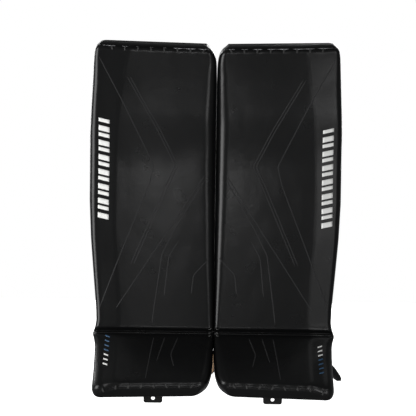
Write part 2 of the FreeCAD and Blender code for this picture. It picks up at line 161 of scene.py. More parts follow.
class Row:
    """The pad's cross-section at s along the face. start is the depth where its front lies."""

    def __init__(self, s, start=0.0):
        self.s = s
        self.front = bent(FRONT_LINE, s, FRONT_ROUND)
        self.back = bent(BACK_LINE, s, BACK_ROUND)
        self.depth = float(np.linalg.norm(self.back - self.front))
        self.step = (self.back - self.front) / self.depth
        self.start = start
        self.x_in = eased(INNER, s, 3 * MM)
        self.x_out = eased(OUTER, s, 3 * MM)
        self.bevel = eased(BEVEL_WIDTH, s)
        self.r_in = eased(INNER_CORNER, s)
        self.r_out = eased(OUTER_CORNER, s)
        self.fold = eased(FOLD, s, PROBE)
        self.slope = slope_at(s)
        self.taper = table(TOE_TAPER, s)

    def point(self, x, v):
        """Point at x, at depth v behind the front line."""
        y, z = self.front + self.step * v
        if self.taper:
            inner = max(0.0, 1 - (x - self.x_in) / TAPER_FADE)
            x += self.taper * inner * min(1.0, max(0.0, v / self.depth)) ** 1.5
        return Vector((x, y, z + self.slope * (x - SLOPE_X)))

    def face_depth(self, x):
        """Depth of the visible face at x."""
        ridge = self.x_out - self.bevel
        flat_in = self.x_in + self.r_in
        drop = BEVEL_DROP / (self.bevel - self.r_out)
        past = x - ridge
        bend = min(2 * RIDGE_ROUND, max(0.0, past + RIDGE_ROUND))
        v = drop * (bend ** 2 / (4 * RIDGE_ROUND) + max(0.0, past - RIDGE_ROUND))
        over = max(0.0, x - self.x_out + self.r_out)
        v += edge_fall(self.r_in, flat_in - x) + edge_fall(self.r_out, over) - drop * over
        across = (x - flat_in) / max(ridge - flat_in, MM)
        ends = min(1.0, self.s / CROWN_FADE, (S_TOE - self.s) / CROWN_FADE)
        crown = CROWN * ends * max(0.0, 4 * across * (1 - across))
        fold = self.fold * min(1.0, (x - self.x_in) / FOLD_FADE, (self.x_out - x) / FOLD_FADE)
        return self.start + v - crown + max(0.0, fold)


LACE_COUNT = 8
# The first stitch's X, the pitch, how far in from the end they pull, and from where to where each runs.
LACES = {
    "top": dict(first=29.5 * MM, pitch=28.1 * MM, inset=4 * MM, low=12 * MM, high=22 * MM, seed=0.4),
    "toe": dict(first=44 * MM, pitch=26.6 * MM, inset=2 * MM, low=0.0, high=9 * MM, seed=7.4),
}
# Further out than this X the boot's leather creases, the more so over this distance.
BOOT_CREASE_X, BOOT_CREASE_FADE = 205 * MM, 50 * MM


def lace_pull(x, s):
    """How deep the lace stitches draw the leather in beside each end."""
    end = "top" if s < S_THIGH else "toe"
    lace = LACES[end]
    past = abs(s - ENDS[end]) - lace["inset"]
    number = min(LACE_COUNT - 1, max(0, round((x - lace["first"]) / lace["pitch"])))
    nearest = lace["first"] + lace["pitch"] * number
    return 1.6 * MM * math.exp(-((x - nearest) / (5.5 * MM)) ** 2 - (past / (9 * MM)) ** 2)


def swell(side, x, s):
    """How far hand-stuffed leather stands proud or hollow at this place."""
    seed = 3.1 if side == "left" else 8.7

    def waves(height, per_x, per_s):
        return height * noise.noise(Vector((x * per_x, s * per_s, seed)))

    near_break = math.exp(-abs(s - S_BREAK) / (18 * MM))
    edge = max(0.0, (x - BOOT_CREASE_X) / BOOT_CREASE_FADE) if s > S_BREAK else 0.0
    stuffing = waves(0.9 * MM, 10, 6) + waves(0.4 * MM, 34, 18)
    puckers = waves(0.9 * MM * near_break, 85, 14)
    creases = waves(1.5 * MM * min(1.0, edge), 42, 26)
    return stuffing + puckers + creases - lace_pull(x, s)


def skin(side, row, x, v):
    """Point of the cover at this depth. The swell of the stuffing fades out at the back edge."""
    free = min(1.0, max(0.0, row.depth - v) / SWELL_FADE)
    return row.point(x, v - free * swell(side, x, row.s))


def surface_at(side, rows, x, lift):
    """(point, normal) on the cover. The second of the two rows is just further down the pad."""
    row, below = rows
    here = skin(side, row, x, row.face_depth(x))
    across = skin(side, row, x + PROBE, row.face_depth(x + PROBE)) - here
    down = skin(side, below, x, below.face_depth(x)) - here
    normal = down.cross(across).normalized()
    return here + normal * lift, normal


def face_point(side, x, s, lift=0.0):
    return surface_at(side, (Row(s), Row(s + PROBE)), x, lift)


def edge_row(end, q):
    """Row at distance q along the surface from where the rounded edge meets the end face.

    q is negative on the end face and positive over the edge and on the face."""
    radius = EDGE_ROUND[end]
    quarter = radius * math.pi / 2
    turn = min(max(0.0, q), quarter) / radius
    s = radius * (1 - math.cos(turn)) + max(0.0, q - quarter)
    start = radius * (1 - math.sin(turn)) - min(0.0, q)
    return Row(S_TOE - s if end == "toe" else s, start)


def edge_point(side, end, x, q, lift=0.0):
    step = PROBE if end == "top" else -PROBE
    return surface_at(side, (edge_row(end, q), edge_row(end, q + step)), x, lift)


# ---- mesh helpers


@contextmanager
def editing(mesh):
    """The mesh as a bmesh, written back afterwards."""
    bm = bmesh.new()
    bm.from_mesh(mesh)
    yield bm
    bm.to_mesh(mesh)
    bm.free()


def placed(name, data):
    """New object in the scene."""
    obj = bpy.data.objects.new(name, data)
    bpy.context.scene.collection.objects.link(obj)
    return obj


def new_object(name, side, verts, faces, materials, smooth=True):
    """Object from the left side's vertices, mirrored across X for the right pad."""
    mesh = bpy.data.meshes.new(name)
    sx = SIDES[side]
    mesh.from_pydata([(sx * v[0], v[1], v[2]) for v in verts], [], faces)
    with editing(mesh) as bm:
        if sx < 0:
            bmesh.ops.reverse_faces(bm, faces=bm.faces)
    for m in materials:
        mesh.materials.append(m)
    for polygon in mesh.polygons:
        polygon.use_smooth = smooth
    return placed(f"{side}_{name}", mesh)


def flexes(obj):
    """Bakes the piece's placement into its mesh. The way the boot bends is worked out but not used."""
    way = np.array((BOOT_DOWN[0], BOOT_DOWN[1] - 1.0))
    way = way / np.linalg.norm(way)
    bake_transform(obj)


def declare(obj, side, body=None, stands_for=()):
    """Sets what a piece stands for, and what it moves with.

    Without a body its placement is baked into its mesh."""
    if stands_for:
        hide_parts(*(f"{side}_{node}" for node in stands_for))
    if body:
        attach(obj, f"{side}_{body}")
    else:
        flexes(obj)


def add_piece(name, side, mesh, materials, body=None, stands_for=(), smooth=True):
    """A closed piece from (vertices, faces), facing outwards and declared."""
    obj = new_object(name, side, *mesh, materials, smooth)
    with editing(obj.data) as bm:
        bmesh.ops.recalc_face_normals(bm, faces=bm.faces)
    declare(obj, side, body, stands_for)
    return obj


def bake(obj):
    """Keeps what the modifiers make of the object's mesh."""
    bpy.context.view_layer.update()
    shaped = obj.evaluated_get(bpy.context.evaluated_depsgraph_get())
    mesh = bpy.data.meshes.new_from_object(shaped)
    obj.modifiers.clear()
    obj.data = mesh


def grid_faces(rows, cols, closed=False):
    """Quads over a grid of rows by cols vertices; closed joins the last column to the first."""
    last = cols if closed else cols - 1
    return [
        (r * cols + c, r * cols + (c + 1) % cols, (r + 1) * cols + (c + 1) % cols, (r + 1) * cols + c)
        for r in range(rows - 1) for c in range(last)
    ]


def shell(name, side, grid, thick, material, flip=False):
    """Object from a grid of points, thickened inwards and smoothed. flip turns the side that faces out."""
    faces = grid_faces(len(grid), len(grid[0]))
    if flip:
        faces = [tuple(reversed(f)) for f in faces]
    obj = new_object(name, side, [p for row in grid for p in row], faces, [material])
    with editing(obj.data) as bm:
        bmesh.ops.remove_doubles(bm, verts=bm.verts, dist=0.02 * MM)
    solid = obj.modifiers.new("thickness", "SOLIDIFY")
    solid.thickness = thick
    solid.offset = -1
    smooth = obj.modifiers.new("smooth", "SUBSURF")
    smooth.levels = smooth.render_levels = 1
    bake(obj)
    return obj


def rim_of(rows, cols):
    """Numbers of the vertices round the edge of a grid, in order."""
    last = (rows - 1) * cols
    rim = list(range(cols)) + [cols * i + cols - 1 for i in range(1, rows)]
    return rim + [last + j for j in range(cols - 2, -1, -1)] + [cols * i for i in range(rows - 2, 0, -1)]


def sandwich(front, back):
    """(vertices, faces) of a closed sheet between two grids of points of the same size."""
    rows, cols = len(front), len(front[0])
    n = rows * cols
    faces = grid_faces(rows, cols)
    faces += [tuple(n + i for i in reversed(f)) for f in faces]
    rim = rim_of(rows, cols)
    faces += [(a, n + a, n + b, b) for a, b in zip(rim, rim[1:] + rim[:1])]
    return [p for row in front + back for p in row], faces


def pillow(*gaps):
    """Height of a stuffed sheet, up to 1, from its distances to its edges over the roundness of each."""
    return math.prod(math.sqrt(max(0.0, 1 - (1 - min(1.0, gap)) ** 2)) for gap in gaps)


def spread(a, b, count):
    """This many values from a towards b, without b."""
    return [a + (b - a) * k / count for k in range(count)]


def quarter_turn(count):
    return [math.pi / 2 * k / count for k in range(count + 1)]


def circle(radius, count=8):
    turns = [2 * math.pi * k / count for k in range(count)]
    return [(radius * math.cos(t), radius * math.sin(t)) for t in turns]


def dome(width, height, sunk=0.6 * MM):
    """Flat-bottomed profile that stands proud of a surface, as (across, up) points."""
    w = width / 2
    right = [(0.6 * w, height), (w, 0.35 * height), (w, -sunk)]
    return [(-a, b) for a, b in reversed(right)] + right


def plate(width, thick, corner, count=6, rib=0.0, ribs=0):
    """Rounded rectangle, as (across, up) points, with ribs on both faces."""
    w, t = width / 2, thick / 2
    top = []
    for k in range(count + 1):
        x = w - corner - (2 * w - 2 * corner) * k / count
        top.append((x, t + rib * math.cos(math.pi * ribs * x / w)))
    bottom = [(x, -y) for x, y in reversed(top)]
    left = [(-w, t - corner), (-w, -t + corner)]
    right = [(w, -t + corner), (w, t - corner)]
    return top + left + bottom + right


def directions(line, closed=False):
    """Unit direction of a line at each of its points."""
    before = [line[-1] if closed else line[0], *line[:-1]]
    after = [*line[1:], line[0] if closed else line[-1]]
    return [(b - a).normalized() for a, b in zip(before, after)]


def swept(points, ups, profile, closed=False, scales=None):
    """(vertices, faces) of a profile swept along points; ups are the directions of its second axis."""
    count, n = len(points), len(profile)
    verts = []
    for i, (p, way, up) in enumerate(zip(points, directions(points, closed), ups)):
        across = way.cross(up).normalized()
        up = across.cross(way)
        k = scales[i] if scales else 1.0
        verts += [p + across * (a * k) + up * (b * k) for a, b in profile]
    faces = grid_faces(count, n, closed=True)
    last = (count - 1) * n
    if closed:
        faces += [(last + c, last + (c + 1) % n, (c + 1) % n, c) for c in range(n)]
    else:
        faces += [tuple(reversed(range(n))), tuple(range(last, last + n))]
    return verts, faces


def joined(parts):
    """One (vertices, faces) from several."""
    verts, faces = [], []
    for v, f in parts:
        base = len(verts)
        verts += v
        faces += [tuple(base + i for i in face) for face in f]
    return verts, faces


def rounded_route(points, radius, gap):
    """Points at about this spacing along a route, with its corners eased by averaging over the radius."""
    fine = [points[0]]
    for a, b in zip(points, points[1:]):
        count = max(1, round((b - a).length / gap))
        fine += [a.lerp(b, k / count) for k in range(1, count + 1)]
    reach = max(1, round(radius / gap))
    out = []
    for i in range(len(fine)):
        k = min(reach, i, len(fine) - 1 - i)
        window = fine[i - k:i + k + 1]
        out.append(sum(window, Vector((0, 0, 0))) / len(window))
    return out


def cord(route, corner, up, radius):
    """(vertices, faces) of a round cord along a closed route, with its corners eased over this distance."""
    ring = rounded_route(route + route[:1], corner, 3 * MM)[:-1]
    return swept(ring, [Vector(up)] * len(ring), circle(radius), closed=True)


# ---- finishes


def set_inputs(node, **values):
    for name, value in values.items():
        node.inputs[name.replace("_", " ")].default_value = value


def texture(nodes, links, place, kind, **values):
    node = nodes.new("ShaderNodeTex" + kind)
    set_inputs(node, **values)
    links.new(place, node.inputs["Vector"])
    return node


def maths(nodes, operation):
    node = nodes.new("ShaderNodeMath")
    node.operation = operation
    return node


def grain(nodes, links, place, size):
    """Leather grain: rounded cells with creases between them."""
    cells = texture(nodes, links, place, "Voronoi", Scale=1.0 / size)
    cells.feature = "SMOOTH_F1"
    turned = maths(nodes, "SUBTRACT")
    turned.inputs[0].default_value = 1.0
    links.new(cells.outputs["Distance"], turned.inputs[1])
    return turned.outputs["Value"]


def cloud(nodes, links, place, size):
    """Soft irregular unevenness."""
    return texture(nodes, links, place, "Noise", Scale=1.0 / size, Detail=4.0).outputs["Fac"]


def weave(nodes, links, place, size):
    """Threads that cross at right angles."""
    both = maths(nodes, "MULTIPLY")
    for i, way in enumerate(("X", "Z")):
        wave = texture(nodes, links, place, "Wave", Scale=1.0 / (3.1 * size))
        wave.bands_direction = way
        links.new(wave.outputs["Fac"], both.inputs[i])
    return both.outputs["Value"]


def finish(name, colour, rough, *relief, metallic=0.0, cloudy=0.0, sheen=0.0, shine=0.5):
    """Procedural finish. Each relief is (pattern, size, height) in mm; cloudy varies the roughness."""
    m = bpy.data.materials.new(name)
    m.use_nodes = True
    nodes, links = m.node_tree.nodes, m.node_tree.links
    surface = nodes["Principled BSDF"]
    set_inputs(surface, Base_Color=(*colour, 1.0), Roughness=rough, Metallic=metallic, Sheen_Weight=sheen,
               Specular_IOR_Level=shine)
    place = nodes.new("ShaderNodeTexCoord").outputs["Object"]
    if cloudy:
        spots = texture(nodes, links, place, "Noise", Scale=22.0, Detail=5.0)
        varied = nodes.new("ShaderNodeMapRange")
        set_inputs(varied, To_Min=rough - cloudy, To_Max=rough + cloudy)
        links.new(spots.outputs["Fac"], varied.inputs["Value"])
        links.new(varied.outputs["Result"], surface.inputs["Roughness"])
    target = surface.inputs["Normal"]
    for pattern, size, height in reversed(relief):
        bump = nodes.new("ShaderNodeBump")
        bump.inputs["Distance"].default_value = height * MM
        links.new(pattern(nodes, links, place, size * MM), bump.inputs["Height"])
        links.new(bump.outputs["Normal"], target)
        target = bump.inputs["Normal"]
    return m


BLACK_LEATHER = finish("black leather", (0.0035, 0.0036, 0.0037), 0.28,
                       (cloud, 18, 0.3), (cloud, 3.2, 0.05), (grain, 0.9, 0.05), cloudy=0.02, shine=0.25)
SEAM_LEATHER = finish("raised seam", (0.018, 0.018, 0.0185), 0.5,
                      (cloud, 3, 0.12), (grain, 0.8, 0.06), cloudy=0.05, shine=0.2)
BIND_LEATHER = finish("binding leather", (0.0035, 0.0036, 0.0037), 0.46,
                      (cloud, 8, 0.4), (grain, 0.7, 0.06), cloudy=0.06, shine=0.1)
LINER = finish("nylon liner", (0.008, 0.008, 0.0092), 0.66, (weave, 0.8, 0.14), (cloud, 20, 0.8))
BLOCK = finish("block cover", (0.008, 0.008, 0.0088), 0.46,
               (cloud, 12, 0.8), (grain, 0.9, 0.08), cloudy=0.06)
CRADLE = finish("knit cradle", (0.02, 0.02, 0.023), 0.82, (weave, 1.1, 0.2), (cloud, 15, 0.7), sheen=0.25)
LOOP = finish("loop pile", (0.009, 0.009, 0.010), 0.95, (cloud, 0.9, 0.6), sheen=0.4)
ELASTIC = finish("elastic web", (0.005, 0.005, 0.0055), 0.7, (weave, 0.55, 0.16))
STRAP = finish("strap leather", (0.006, 0.006, 0.0065), 0.42,
               (cloud, 4, 0.15), (grain, 0.6, 0.05), shine=0.25)
SUEDE = finish("flesh side", (0.45, 0.27, 0.13), 0.85, (cloud, 2.2, 0.3), (cloud, 0.5, 0.1), sheen=0.2)
PLASTIC = finish("moulded plastic", (0.014, 0.014, 0.015), 0.36, (cloud, 0.8, 0.03))
TAB = finish("dull tab", (0.004, 0.004, 0.004), 0.6, (cloud, 2, 0.05), shine=0.2)
BOARD = finish("stiffener board", (0.11, 0.11, 0.115), 0.5, (cloud, 6, 0.1))
STEEL = finish("steel", (0.56, 0.57, 0.58), 0.28, (cloud, 0.6, 0.02), metallic=1.0)
FOAM = finish("foam", (0.30, 0.30, 0.31), 0.92, (cloud, 1.2, 0.4))
GREY_THREAD = finish("grey thread", (0.16, 0.16, 0.155), 0.7, (weave, 0.5, 0.15))
DARK_LACE = finish("dark lace", (0.014, 0.014, 0.0135), 0.55, (weave, 0.5, 0.15))
WHITE_PRINT = finish("white print", (0.82, 0.82, 0.80), 0.5, (cloud, 2, 0.08))
BLUE_PRINT = finish("blue print", (0.026, 0.08, 0.16), 0.5, (cloud, 2, 0.08))

# ---- the cover: one skin from the top cap to the toe


def across_cover(row):
    """(x, depth) pairs from the inner side's back edge, over the face, to the outer side's back edge."""
    flat_in, ridge, arc = row.x_in + row.r_in, row.x_out - row.bevel, row.x_out - row.r_out
    v_in, v_out = row.start + row.r_in, row.face_depth(row.x_out - 0.001 * MM)
    turns = quarter_turn(7)
    inner = [(row.x_in, v) for v in spread(row.depth, v_in, 6)]
    xs = [flat_in - row.r_in * math.cos(turn) for turn in turns[:-1]]
    xs += spread(flat_in, ridge - RIDGE_ROUND, 20)
    xs += spread(ridge - RIDGE_ROUND, ridge + RIDGE_ROUND, 6) + spread(ridge + RIDGE_ROUND, arc, 5)
    xs += [arc + row.r_out * math.sin(turn) for turn in turns]
    face = [(x, row.face_depth(x)) for x in xs]
    outer = [(row.x_out, v) for v in reversed(spread(row.depth, v_out, 6))]
    return [(x, min(v, row.depth)) for x, v in inner + face + outer]


def face_steps(fine=1.3 * MM, coarse=8.5 * MM):
    """Distances down the face between the rounded ends, close together around the break."""
    out, last = [EDGE_ROUND["top"]], S_TOE - EDGE_ROUND["toe"]
    while out[-1] < last:
        past = abs(out[-1] - S_BREAK)
        near_end = min(out[-1], S_TOE - out[-1])
        gap = fine + (coarse - fine) * min(1.0, max(0.0, past - 26 * MM) / (40 * MM))
        out.append(out[-1] + min(gap, 2 * MM + 0.4 * near_end))
    out[-1] = last
    return out


def end_rows(end):
    """Rows from the back edge of an end face to where its rounded edge meets the face."""
    radius = EDGE_ROUND[end]
    flat = Row(ENDS[end]).depth - radius
    stops = spread(-flat, 0.0, 6) + [radius * turn for turn in quarter_turn(8)[:-1]]
    return [edge_row(end, q) for q in stops]


def make_cover(side):
    rows = end_rows("top") + [Row(s) for s in face_steps()] + end_rows("toe")[::-1]
    grid = [[skin(side, row, x, v) for x, v in across_cover(row)] for row in rows]
    cover = shell("cover", side, grid, 1.5 * MM, BLACK_LEATHER, flip=True)
    declare(cover, side, stands_for=("face_skin", "boot_skin"))


CORE_INSET, CORE_BACK, CORE_GAP = 3.4 * MM, 6.2 * MM, 9 * MM


def make_core(name, side, start, end, body):
    """Foam that fills the cover between two distances down the face."""
    rings = []
    for s in np.linspace(start, end, 24):
        row = Row(float(s), CORE_INSET)
        xs = np.linspace(row.x_in + CORE_INSET, row.x_out - CORE_INSET, 30)
        deep = row.depth - CORE_BACK
        front = [row.point(x, min(max(row.face_depth(x), CORE_INSET), deep - MM)) for x in xs]
        rings.append(front + [row.point(x, deep) for x in xs[::-1]])
    verts = [p for ring in rings for p in ring]
    n = len(rings[0])
    faces = grid_faces(len(rings), n, closed=True)
    faces += [tuple(range(n)), tuple(range(len(verts) - n, len(verts)))]
    add_piece(name, side, (verts, faces), [FOAM], body, [name], smooth=False)


def make_liner(side):
    """Nylon panel that closes the whole back, from the top to the toe."""
    seed = 1.7 if side == "left" else 5.9
    end_gap, side_gap = 0.6 * MM, 1.2 * MM
    grid = []
    for s in [end_gap] + face_steps(2.2 * MM, 10 * MM) + [S_TOE - end_gap]:
        row = Row(s)
        fold = 3.0 * MM * math.exp(-((s - S_BREAK) / (5 * MM)) ** 2)
        line = []
        for k in range(25):
            x = row.x_in + side_gap + (row.x_out - row.x_in - 2 * side_gap) * k / 24
            sag = 0.5 * MM * (1 + noise.noise(Vector((x * 16, s * 11, seed))))
            line.append(row.point(x, row.depth - 0.2 * MM - sag - fold))
        grid.append(line)
    liner = shell("liner", side, grid, 1.6 * MM, LINER)
    declare(liner, side, stands_for=("back_liner", "boot_liner"))


def make_piping(side):
    """Corded edge where the cover and the liner are sewn together, all the way round."""
    inner, outer = [], []
    for s in [0.0] + face_steps(3 * MM, 12 * MM) + [S_TOE]:
        row = Row(s)
        inner.append(row.point(row.x_in + 1.8 * MM, row.depth - 0.6 * MM))
        outer.append(row.point(row.x_out - 0.8 * MM, row.depth - 0.6 * MM))
    mesh = cord(inner + outer[::-1], 9 * MM, (0, 1, 0.02), 1.9 * MM)
    add_piece("piping", side, mesh, [BIND_LEATHER])


BINDING_REACH = {"top": 18 * MM, "toe": 4 * MM}


def make_binding(side, end):
    """Leather strip sewn over an end face and just round onto the front."""
    back_edge = EDGE_ROUND[end] - Row(ENDS[end]).depth + 1.2 * MM
    reach = BINDING_REACH[end]
    grid = []
    for q in [*np.linspace(back_edge, 0, 8), *np.linspace(0, reach, 6)[1:]]:
        row = edge_row(end, float(q))
        deepest = row.depth - 0.8 * MM
        line = []
        for x in np.linspace(row.x_in + MM, row.x_out - MM, 44):
            swollen = 0.25 * MM * noise.noise(Vector((x * 40, q * 60, 2.0)))
            lift = (1.0 - 0.7 * max(0.0, q) / reach) * MM + swollen
            if row.face_depth(x) < deepest:
                line.append(edge_point(side, end, float(x), float(q), lift)[0])
            else:
                line.append(edge_limit(end, float(x), deepest, MM))
        grid.append(line)
    strip = shell(f"{end}_binding", side, grid, 1.4 * MM, BIND_LEATHER, flip=end == "top")
    declare(strip, side, END_BODY[end], [f"{end}_binding"])


def edge_limit(end, x, deepest, lift):
    """Point on an end face at this depth from the front."""
    s = ENDS[end]
    out = Row(s).front - Row(abs(s - MM)).front
    return Row(s).point(x, deepest) + Vector((0, out[0], out[1])).normalized() * lift


def make_lacing(side, end):
    """Short lace stitches beside the bound edge."""
    lace = LACES[end]
    rise = lace["high"] - lace["low"]
    parts = []
    for i in range(LACE_COUNT):
        middle = lace["first"] + i * lace["pitch"]
        lean = 9 * MM * noise.noise(Vector((i * 3.7, 1.3, lace["seed"])))
        spots, scales = [], []
        for t in np.linspace(0, 1, 9).tolist():
            hump = math.sin(math.pi * t)
            x = middle + lean * (t - 0.5)
            spots.append(edge_point(side, end, x, lace["low"] + rise * t, 1.5 * MM * hump - 0.2 * MM))
            scales.append(0.75 + 0.25 * hump)
        parts.append(swept(*zip(*spots), plate(3.8 * MM, 1.3 * MM, 0.45 * MM, 4), scales=scales))
    name = f"{end}_lacing"
    add_piece(name, side, joined(parts), [DARK_LACE], END_BODY[end], [name])


# ---- seams, bars and ticks on the face

# Raised seams as (X, distance down the face) in millimetres, the second group measured from the break.
BODY_SEAMS = [
    [(253.9, 30), (206.3, 116.9), (135, 261.7), (145, 303.1), (219, 492.5), (249.5, 573)],
    [(186.1, 70.1), (122.9, 180.6), (81.9, 261.7), (101.4, 303.1), (175.5, 477.2)],
    [(192.6, 70.1), (129.4, 180.6), (88.4, 261.7), (107.9, 303.1), (182, 477.2)],
    [(23.1, 281.3), (101.4, 403.2), (212.5, 573)],
    [(23.1, 292.2), (86.2, 398.8), (114.5, 455.4), (128.7, 562.1), (134.1, 606)],
    [(78.4, 425), (99.3, 459.8), (108, 545.8)],
    [(10, 462), (44.8, 499), (49.2, 540.3)],
]
BOOT_SEAMS = [
    [(128.9, 16.7), (133.9, 58.3), (141.5, 136)],
    [(105.1, 16.7), (120.1, 87.5)],
    [(76.9, 16.7), (90.8, 67.1), (83.6, 101.9)],
]
# Where the rows of bars and ticks start and stop down the face, how many there are, and between which X.
BAR_ROWS, BAR_COUNT, BAR_X = {"left": (176.0, 394.1), "right": (159.8, 381.1)}, 14, (232, 256)
TICK_ROWS, TICK_COUNT, TICK_X = {"left": (32, 115), "right": (10, 100)}, 7, (225, 235)
MARK_SLANT, MARK_SUNK = 5.0, 0.8 * MM
SEAM_WIDTH, SEAM_HEIGHT = 2.4 * MM, 0.4 * MM


def seam_ribbon(side, route):
    flat = rounded_route([Vector((x * MM, s * MM, 0)) for x, s in route], 7 * MM, 3 * MM)
    spots = [face_point(side, p.x, p.y) for p in flat]
    last = len(spots) - 1
    scales = [min(1.0, 0.35 + 0.25 * min(i, last - i)) for i in range(last + 1)]
    return swept(*zip(*spots), dome(SEAM_WIDTH, SEAM_HEIGHT), scales=scales)


def make_seams(side):
    boot = [[(x, s + S_BREAK / MM) for x, s in route] for route in BOOT_SEAMS]
    ribbons = [seam_ribbon(side, route) for route in BODY_SEAMS + boot]
    add_piece("face_seams", side, joined(ribbons), [SEAM_LEATHER])


def plaque(side, xs, near, far, lift):
    """Thin slanted solid on the face, between two X and two distances down the face in millimetres."""
    corners = (xs[0], near + MARK_SLANT), (xs[1], near), (xs[1], far), (xs[0], far + MARK_SLANT)
    a, b, c, d = [Vector((x * MM, s * MM)) for x, s in corners]
    grid = [[a.lerp(b, i / 6).lerp(d.lerp(c, i / 6), j / 3) for j in range(4)] for i in range(7)]
    front = [[face_point(side, p.x, p.y, lift)[0] for p in row] for row in grid]
    back = [[face_point(side, p.x, p.y, -MARK_SUNK)[0] for p in row] for row in grid]
    return sandwich(front, back)


def make_bars(side):
    """Plain slanted bars along the outer band."""
    start, stop = BAR_ROWS[side]
    pitch = (stop - start) / BAR_COUNT
    parts = []
    for i in range(BAR_COUNT):
        near = start + i * pitch
        parts.append(plaque(side, BAR_X, near, near + pitch * (0.72 if i % 2 else 0.5), 0.5 * MM))
    add_piece("bars", side, joined(parts), [WHITE_PRINT], "pad")


def make_ticks(side):
    """Small slanted ticks near the outer edge of the boot, in two colours."""
    start, stop = TICK_ROWS[side]
    pitch = (stop - start) / TICK_COUNT
    nears = [S_BREAK / MM + start + i * pitch for i in range(TICK_COUNT)]
    first, second, change = (WHITE_PRINT, BLUE_PRINT, 3) if side == "left" else (BLUE_PRINT, WHITE_PRINT, 4)
    for name, part, material in (("upper", nears[:change], first), ("lower", nears[change:], second)):
        ticks = [plaque(side, TICK_X, near, near + 0.3 * pitch, 0.3 * MM) for near in part]
        add_piece(f"ticks_{name}", side, joined(ticks), [material])


def make_crease_stitches(side):
    """Slanted thread stitches over the inner end of the crease."""
    parts = []
    for s in (-9 * MM, 0.0, 9 * MM):
        spots = []
        for t in np.linspace(0, 1, 7).tolist():
            lift = 0.9 * MM * math.sin(math.pi * t) - 0.2 * MM
            spots.append(face_point(side, (5 + 5 * t) * MM, S_BREAK + s + 2.5 * MM * t, lift))
        parts.append(swept(*zip(*spots), circle(0.45 * MM, 6)))
    add_piece("crease_stitches", side, joined(parts), [GREY_THREAD])


# ---- stuffed blocks behind the pad

VOXEL = 5 * MM
CLOTH = dict(quality=5, mass=0.3, tension_stiffness=14, compression_stiffness=14, bending_stiffness=0.4,
             use_pressure=True, uniform_pressure_force=4.0)
CLOTH_FRAMES, CLOTH_MOST = 20, 1.6 * MM

# Low and high corner, roundness of the edges, fill, and the sewn channels: the axis along which they follow
# each other, their depth, their half width and their places. Sizes are in millimetres.
BLOCKS = {
    "knee_stack": ((2.5, 1.2, -83), (102.5, 36.8, 93), 7, 0.8, (2, 1.6, 3.5, (-40, 5, 50))),
    "knee_block": ((2.5, 39.2, -78.5), (98.5, 70.8, 88.5), 9, 0.8, (2, 2.2, 4, (-40, 50))),
    "calf_block": ((2.8, 1.2, -298.5), (60.5, 60.8, -105.5), 9, 0.8, (2, 2.6, 4.5, (-201,))),
    "knee_cradle": ((109.5, 0.9, -78.5), (214.5, 12.6, 84.5), 4.5, 0.7, (0, 2.8, 4.5, (144, 180))),
    "shin_cradle": ((68.5, 0.9, -298.5), (204.5, 9.8, -107.5), 4, 0.6, (0, 2.0, 4.5, (102, 137, 171))),
}
# The CAD nodes of the blocks whose node has another name.
CRADLE_NODES = {"knee_cradle": ["leg_cradle"], "shin_cradle": []}


def rounded_block(low, high, corner):
    """Box with rounded edges, as an object with a fine even mesh."""
    bm = bmesh.new()
    bmesh.ops.create_cube(bm, size=1.0)
    for v in bm.verts:
        v.co = Vector([low[i] + (v.co[i] + 0.5) * (high[i] - low[i]) for i in range(3)])
    bmesh.ops.bevel(bm, geom=bm.edges[:], offset=corner, segments=3, affect="EDGES", profile=0.5)
    mesh = bpy.data.meshes.new("block")
    bm.to_mesh(mesh)
    bm.free()
    obj = placed("block", mesh)
    even = obj.modifiers.new("even", "REMESH")
    even.mode = "VOXEL"
    even.voxel_size = VOXEL
    bake(obj)
    return obj


def inflate(obj):
    """Blows the cover up as cloth over its stuffing, and keeps each point close to where it was."""
    rest = [v.co.copy() for v in obj.data.vertices]
    cloth = obj.modifiers.new("cloth", "CLOTH")
    for setting, value in CLOTH.items():
        setattr(cloth.settings, setting, value)
    cloth.settings.effector_weights.gravity = 0.0
    cloth.point_cache.frame_start = 1
    cloth.point_cache.frame_end = CLOTH_FRAMES
    for frame_number in range(1, CLOTH_FRAMES + 1):
        bpy.context.scene.frame_set(frame_number)
    bake(obj)
    bpy.context.scene.frame_set(1)
    for v, start in zip(obj.data.vertices, rest):
        move = v.co - start
        if move.length > CLOTH_MOST:
            v.co = start + move * (CLOTH_MOST / move.length)


def stuffed(low, high, corner, valleys):
    """(vertices, faces) of a rounded box, quilted on its back along its valleys and swollen between."""
    obj = rounded_block(low, high, corner)
    axis, depth, reach, places = valleys
    for v in obj.data.vertices:
        for at in places:
            if v.co[1] > (low[1] + high[1]) / 2:
                v.co[1] -= depth * MM * math.exp(-((v.co[axis] - at * MM) / (reach * MM)) ** 2)
    inflate(obj)
    smooth = obj.modifiers.new("smooth", "SUBSURF")
    smooth.levels = 1
    bake(obj)
    mesh = [tuple(v.co) for v in obj.data.vertices], [tuple(p.vertices) for p in obj.data.polygons]
    bpy.data.objects.remove(obj)
    return mesh


def ring_piping(name, side, low, high, y):
    """Corded seam round a block, in the plane at this depth."""
    corners = [(low[0], low[2]), (high[0], low[2]), (high[0], high[2]), (low[0], high[2])]
    cut = 9 * MM
    route = []
    for i, (x, z) in enumerate(corners):
        for other in (corners[i - 1], corners[(i + 1) % 4]):
            way = Vector((other[0] - x, 0, other[1] - z)).normalized()
            route.append(Vector((x, y, z)) + way * cut)
    add_piece(name, side, cord(route, 0.8 * cut, (0, 1, 0), 1.3 * MM), [BIND_LEATHER], "pad")


